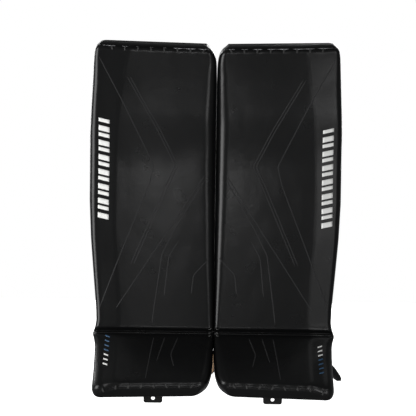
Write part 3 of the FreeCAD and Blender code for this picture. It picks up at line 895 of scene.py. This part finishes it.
def make_blocks():
    for name, (low, high, corner, fill, valleys) in BLOCKS.items():
        low, high, corner = Vector(low) * MM, Vector(high) * MM, corner * MM
        mesh = stuffed(low, high, corner, valleys)
        cradle = name.endswith("cradle")
        slot, material = ("cradle", CRADLE) if cradle else ("block_cover", BLOCK)
        for side in SIDES:
            block = new_object(name, side, *mesh, [material])
            declare(block, side, "pad", CRADLE_NODES.get(name, [name]))
            if not cradle:
                ring_piping(f"{name}_piping", side, low, high, high[1] - corner)


PANEL_ROWS, PANEL_COLS, PANEL_RIBS = 41, 49, 5
PANEL_X, PANEL_WIDE, PANEL_ROUND = 36 * MM, 188 * MM, 9 * MM


def make_thigh_cradle(side):
    """Padded panel behind the thigh rise, with ribs down it."""
    s_top, s_low = 0.15 * S_THIGH, 0.83 * S_THIGH
    front, back = [], []
    for i in range(PANEL_ROWS):
        s = s_top + (s_low - s_top) * i / (PANEL_ROWS - 1)
        row = Row(s)
        end_gap = min(s - s_top, s_low - s) / PANEL_ROUND
        line = []
        for k in range(PANEL_COLS):
            past = PANEL_WIDE * k / (PANEL_COLS - 1)
            rise = pillow(end_gap, min(past, PANEL_WIDE - past) / PANEL_ROUND)
            rib = min(abs(past - PANEL_WIDE * j / PANEL_RIBS) for j in range(1, PANEL_RIBS))
            quilt = 1 - 0.55 * math.exp(-(rib / (4 * MM)) ** 2)
            line.append(row.point(PANEL_X + past, row.depth + 0.4 * MM + 5.8 * MM * rise * quilt))
        front.append(line)
        back.append([row.point(p.x, row.depth + 0.35 * MM) for p in line])
    panel = add_piece("thigh_cradle", side, sandwich(front, back), [CRADLE], "pad")


# ---- wings and straps


def arc_through(a, b, c, count):
    """Points in plan on the circle arc from a through b to c, with their normals."""
    a, b, c = (complex(*p) for p in (a, b, c))
    ratio = (c - a) / (b - a)
    centre = a + (b - a) * (ratio - abs(ratio) ** 2) / (2j * ratio.imag)
    sweep = cmath.phase((b - centre) / (a - centre)) + cmath.phase((c - centre) / (b - centre))
    spokes = [(a - centre) * cmath.rect(1, sweep * k / (count - 1)) for k in range(count)]
    outward = math.copysign(1 / abs(a - centre), sweep)
    return [as_pair(centre + spoke) for spoke in spokes], [as_pair(spoke * outward) for spoke in spokes]


def as_pair(z):
    return z.real, z.imag


WINGS = {
    "knee_wing": dict(plan=((250, 9.2), (263, 62), (232, 112)), z=(-70, 84), channels=(-32, 7, 46)),
    "calf_wing": dict(plan=((232, 9.2), (245, 58), (214, 106)), z=(-296, -106),
                      channels=(-249, -201, -153)),
}
WING_ROWS, WING_COLS = 57, 33
WING_HALF, WING_ROUND = 7.0 * MM, 13 * MM


def make_wing(name, side):
    """Stuffed flap that curves round the leg, quilted across and bound round its rim."""
    spec = WINGS[name]
    centres, normals = arc_through(*spec["plan"], WING_COLS)
    z0, z1 = (v * MM for v in spec["z"])
    length = sum(math.dist(a, b) for a, b in zip(centres, centres[1:])) * MM
    outer, inner = [], []
    for r in range(WING_ROWS):
        z = z0 + (z1 - z0) * r / (WING_ROWS - 1)
        end_gap = (min(z - z0, z1 - z) + 1.5 * MM) / WING_ROUND
        dip = max(math.exp(-((z - at * MM) / (3.4 * MM)) ** 2) for at in spec["channels"])
        out_row, in_row = [], []
        for c, ((x, y), normal) in enumerate(zip(centres, normals)):
            u = length * c / (WING_COLS - 1)
            puff = pillow((min(u, length - u) + 3.0 * MM) / WING_ROUND, end_gap)
            half = Vector((*normal, 0)) * (WING_HALF * (0.32 + 0.64 * puff * (1 - 0.42 * dip)))
            base = Vector((x * MM, y * MM, z))
            out_row.append(base + half)
            in_row.append(base - half)
        outer.append(out_row)
        inner.append(in_row)
    mesh = sandwich(outer, inner)
    wing = add_piece(name, side, mesh, [BLOCK], name, [name])
    verts, n = mesh[0], WING_ROWS * WING_COLS
    middle = [(verts[k] + verts[n + k]) / 2 for k in rim_of(WING_ROWS, WING_COLS)]
    piping = cord(middle, 6 * MM, (1, 0, 0.01), 2.4 * MM)
    add_piece(f"{name}_piping", side, piping, [BIND_LEATHER], name)


KNEE_PLAN = ((246, 117), (172, 137), (106, 79.5), (90, 75.5), (26, 75.5))
CALF_PLAN = ((228, 112), (148, 130), (66, 69.5), (52, 65.5), (13, 65.5))
STRAPS = {
    "knee_strap": dict(plan=KNEE_PLAN, z=10, width=50),
    "calf_strap_upper": dict(plan=CALF_PLAN, z=-152, width=45),
    "calf_strap_lower": dict(plan=CALF_PLAN, z=-250, width=45),
}
# Name, points of the strap's line, lift, thickness and material of the sewn-on ends.
STRAP_ENDS = [
    ("hook", slice(-24, None), 0.0, 3.4 * MM, PLASTIC),
    ("cuff", slice(16), 1.5 * MM, 1.2 * MM, STRAP),
]


def strap_line(points):
    """Plan points and outward normals along a strap: an arc, then two straight runs."""
    arc, _ = arc_through(*points[:3], 40)
    line = rounded_route([Vector((x * MM, y * MM, 0)) for x, y in (*arc, *points[3:])], 5 * MM, 2 * MM)
    return line, [way.cross(UP) for way in directions(line)]


def make_strap(name, side):
    """Elastic web with a hook end and a cuff where it is sewn to its wing."""
    spec = STRAPS[name]
    width = spec["width"] * MM
    line, ups = strap_line(spec["plan"])
    wavy = [p + UP * (spec["z"] * MM) + UP * (0.5 * MM * noise.noise(p * 30)) for p in line]
    profile = plate(width - MM, 2.2 * MM, 0.6 * MM, count=80, rib=0.16 * MM, ribs=15)
    add_piece(name, side, swept(wavy, ups, profile), [ELASTIC], name, [name])
    for part, span, lift, thick, material in STRAP_ENDS:
        points = [p + up * lift for p, up in zip(wavy[span], ups[span])]
        mesh = swept(points, ups[span], plate(width, thick, MM))
        add_piece(f"{name}_{part}", side, mesh, [material], name)
        stitch_box(f"{name}_{part}_stitches", side, points, ups[span], width, name)


def stitch_box(name, side, points, ups, width, body):
    """Rows of thread along both edges of a strap's end, on both faces."""
    inset, lift = 4 * MM, 1.75 * MM
    parts = []
    for face in (lift, -lift):
        for edge in (inset - width / 2, width / 2 - inset):
            for i in range(1, len(points) - 2, 2):
                ends = [points[k] + ups[k] * face + UP * edge for k in (i, i + 1)]
                parts.append(swept(ends, ups[i:i + 2], circle(0.45 * MM, 5)))
    add_piece(name, side, joined(parts), [DARK_LACE], body)


# (x0, x1, y, z0, z1) of the loop patches where the straps land, and their corner radius, in millimetres.
PATCHES = [(20, 90, 72.1, -20, 40), (9, 53, 62.1, -178, -126), (9, 53, 62.1, -276, -224)]
PATCH_CORNER = 5


def make_patches(side):
    """Loop patches with rounded corners."""
    parts = []
    for x0, x1, y, z0, z1 in PATCHES:
        x0, x1, z0, z1 = x0 + PATCH_CORNER, x1 - PATCH_CORNER, z0 + PATCH_CORNER, z1 - PATCH_CORNER
        outline = []
        for turn, (cx, cz) in enumerate(((x1, z1), (x0, z1), (x0, z0), (x1, z0))):
            for k in range(5):
                t = math.pi / 2 * (turn + k / 4)
                outline.append((cx + PATCH_CORNER * math.cos(t), cz + PATCH_CORNER * math.sin(t)))
        n = len(outline)
        verts = [Vector((x * MM, depth * MM, z * MM)) for depth in (y - 1.4, y + 1.2) for x, z in outline]
        faces = [(i, (i + 1) % n, n + (i + 1) % n, n + i) for i in range(n)]
        faces += [tuple(range(n)), tuple(range(2 * n - 1, n - 1, -1))]
        parts.append((verts, faces))
    name = "loop_patches"
    add_piece(name, side, joined(parts), [LOOP], "pad", [name], smooth=False)


# ---- boot strap, in millimetres

STRAP_Y, STRAP_TOP, STRAP_LOW, STRAP_BEND, STRAP_SAG = 4.0, -344.5, -428.0, 22.0, 2.5
LEG_IN, LEG_OUT = 5.5, 241.35
BAR_CENTRE, BAR_Z = 245.0, -388.0
TAIL_DROP, TAIL_POINTS = 47.0, 12
# How far the tail leans out, and its and the inner leg's twist about the vertical in degrees.
STRAP_LIE = {"left": (33.0, 58.0, 4.0), "right": (4.0, 6.0, 24.0)}
HALF_WIDTH, HALF_EDGE, HALF_THICK = 12.3 * MM, 0.6 * MM, 1.1 * MM


def boot_strap_route(side):
    """(x, z, twist) down the inner leg, under the boot, up the outer leg, round the bar, down the tail."""
    tail_out, tail_twist, twist = STRAP_LIE[side]
    start = LEG_IN - 0.3 * twist
    route = []
    for k in range(13):
        t = k / 12
        ease = t * t * (3 - 2 * t)
        height = STRAP_TOP + (STRAP_LOW + STRAP_BEND - STRAP_TOP) * t
        route.append((LEG_IN - 0.3 * twist * ease, height, twist * ease))
    turns = quarter_turn(9)
    for k, a in enumerate(turns[1:], 1):
        x, z = start + STRAP_BEND * (1 - math.cos(a)), STRAP_LOW + STRAP_BEND * (1 - math.sin(a))
        route.append((x, z, twist * (1 - k / 9)))
    for k in range(1, 25):
        t = k / 25
        x = start + STRAP_BEND + (LEG_OUT - start - 2 * STRAP_BEND) * t
        route.append((x, STRAP_LOW - STRAP_SAG * math.sin(math.pi * t), 0.0))
    for a in turns:
        x, z = LEG_OUT - STRAP_BEND * (1 - math.sin(a)), STRAP_LOW + STRAP_BEND * (1 - math.cos(a))
        route.append((x, z, 0.0))
    wrap = BAR_CENTRE - LEG_OUT
    for k in range(9):
        a = math.pi * k / 8
        route.append((BAR_CENTRE - wrap * math.cos(a), BAR_Z + wrap * math.sin(a), 0.0))
    for k in range(1, TAIL_POINTS + 1):
        t = k / TAIL_POINTS
        x = BAR_CENTRE + wrap + tail_out * t
        route.append((x, BAR_Z - TAIL_DROP * t, tail_twist * min(1.0, 2.5 * t)))
    return route


def make_boot_strap(side):
    """Leather strap: black grain side out, tan flesh side in."""
    route = boot_strap_route(side)
    line = [Vector((x * MM, STRAP_Y * MM, z * MM)) for x, z, _ in route]
    count = len(line)
    taper = [1.0] * (count - 3) + [0.92, 0.75, 0.4]
    verts = []
    for i, (p, way) in enumerate(zip(line, directions(line))):
        turn = math.radians(route[i][2])
        across = Vector((math.sin(turn), math.cos(turn), 0)) if abs(way.z) > 0.2 else Vector((0, 1, 0))
        out = across.cross(way).normalized()
        wide = HALF_WIDTH * taper[i]
        narrow = wide * 0.96
        upper = [(-wide, -HALF_EDGE), (-wide, HALF_EDGE), (-narrow, HALF_THICK), (narrow, HALF_THICK)]
        shape = upper + [(-a, -b) for a, b in upper]
        verts += [p + across * a + out * b for a, b in shape]
    sides = 8
    faces = grid_faces(count, sides, closed=True)
    faces += [tuple(range(sides - 1, -1, -1)), tuple(range(sides * (count - 1), sides * count))]
    strap = add_piece("boot_strap", side, (verts, faces), [STRAP, SUEDE], "boot_strap",
                      ["boot_strap"])
    inside, wrapped = 6, TAIL_POINTS + 10
    for i in range(inside, sides * (count - wrapped), sides):
        strap.data.polygons[i].material_index = 1


# ---- what the CAD frame shows as it is

CAD_FINISH = {
    "stiffener": BOARD, "toe_bridge": PLASTIC, "toe_pin": STEEL, "toe_link": TAB, "strap_brackets": STEEL,
    "rivets": STEEL, "buckle_frame": STEEL, "buckle_tab": STRAP,
}


def dress_cad():
    for name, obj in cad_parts.items():
        for part, material in CAD_FINISH.items():
            if name.endswith(part):
                obj.data.materials.clear()
                obj.data.materials.append(material)


# ---- light, camera, floor

# Place, aim, size and power.
LIGHTS = {
    "left key": ((-2.9, -1.2, 0.1), (0, 0, 0), (1.8, 2.2), 95),
    "right key": ((1.65, -2.5, 0.15), (0, 0, 0), (0.9, 0.9), 8),
    "near the camera": ((-0.25, -2.9, 0.27), (0, 0, 0), (0.5, 0.5), 6),
    "under the camera": ((-0.4, -2.8, -0.66), (0, 0, 0.1), (0.4, 0.4), 0.6),
    "low left": ((-0.25, -2.3, -1.38), (0, 0, 0.1), (0.5, 0.5), 4.2),
    "low right": ((1.45, -2.2, -1.3), (0.2, 0, 0.2), (0.8, 0.8), 13),
    "low fill": ((0, -1.5, -2.4), (0, 0, -0.2), (1.4, 0.9), 14),
    "over": ((-0.2, 0.5, 2.6), (0, 0, -0.4), (1.6, 1), 2.5),
    "over right": ((1.1, 0.2, 2.3), (0, 0, -0.4), (0.8, 0.8), 1.2),
    "back left": ((-2, 2.6, 1.1), (0, 0, -0.05), (1.8, 1.8), 60),
    "back right": ((1.2, 3, 0.9), (0, 0, -0.05), (1.6, 1.6), 45),
}


def set_lights():
    for name, (place, aim, size, power) in LIGHTS.items():
        data = bpy.data.lights.new(name, "AREA")
        data.shape = "RECTANGLE"
        data.size, data.size_y = size
        data.energy = power
        lamp = placed(name, data)
        lamp.location = place
        lamp.rotation_euler = (Vector(aim) - Vector(place)).to_track_quat("-Z", "Y").to_euler()


def set_world():
    """White where it is seen, and a soft even light on the pads."""
    world = bpy.data.worlds.new("studio")
    world.use_nodes = True
    bpy.context.scene.world = world
    nodes, links = world.node_tree.nodes, world.node_tree.links
    nodes.clear()
    seen, felt = nodes.new("ShaderNodeBackground"), nodes.new("ShaderNodeBackground")
    set_inputs(seen, Color=(1, 1, 1, 1))
    set_inputs(felt, Color=(0.96, 0.98, 1.0, 1), Strength=0.17)
    mix, path, out = (nodes.new("ShaderNode" + kind) for kind in ("MixShader", "LightPath", "OutputWorld"))
    links.new(path.outputs["Is Camera Ray"], mix.inputs[0])
    links.new(felt.outputs[0], mix.inputs[1])
    links.new(seen.outputs[0], mix.inputs[2])
    links.new(mix.outputs[0], out.inputs["Surface"])


def set_camera():
    data = bpy.data.cameras.new("camera")
    data.sensor_width = 36.0
    data.lens = 111.3
    camera = placed("camera", data)
    camera.location = (-0.0157, -2.86, -0.054)
    camera.rotation_euler = (math.radians(90), math.radians(-0.8), 0)
    bpy.context.scene.camera = camera


def set_floor():
    """A plain white floor. It is seen, and neither shades the pads nor throws light on them."""
    lowest = min(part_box(name)[0].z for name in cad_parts)
    bpy.ops.mesh.primitive_plane_add(size=6, location=(0, 0, lowest - 12 * MM))
    floor = bpy.context.object
    floor.name = "floor"
    paint = finish("floor", (0.8, 0.8, 0.8), 0.9)
    surface = paint.node_tree.nodes["Principled BSDF"]
    set_inputs(surface, Emission_Color=(1, 1, 1, 1), Emission_Strength=1.0)
    floor.data.materials.append(paint)
    floor.visible_shadow = floor.visible_diffuse = floor.visible_glossy = False


# ---- build

dress_cad()
make_blocks()
for side in SIDES:
    make_cover(side)
    make_core("foam_core", side, 5 * MM, S_BREAK - CORE_GAP, "pad")
    make_core("boot_core", side, S_BREAK + CORE_GAP, S_TOE - 5 * MM, "boot")
    make_liner(side)
    make_piping(side)
    for end in ENDS:
        make_binding(side, end)
        make_lacing(side, end)
    make_seams(side)
    make_bars(side)
    make_ticks(side)
    make_crease_stitches(side)
    make_thigh_cradle(side)
    make_patches(side)
    for name in WINGS:
        make_wing(name, side)
    for name in STRAPS:
        make_strap(name, side)
    make_boot_strap(side)

bpy.context.scene.view_settings.view_transform = "Standard"
set_world()
set_camera()
set_lights()
set_floor()
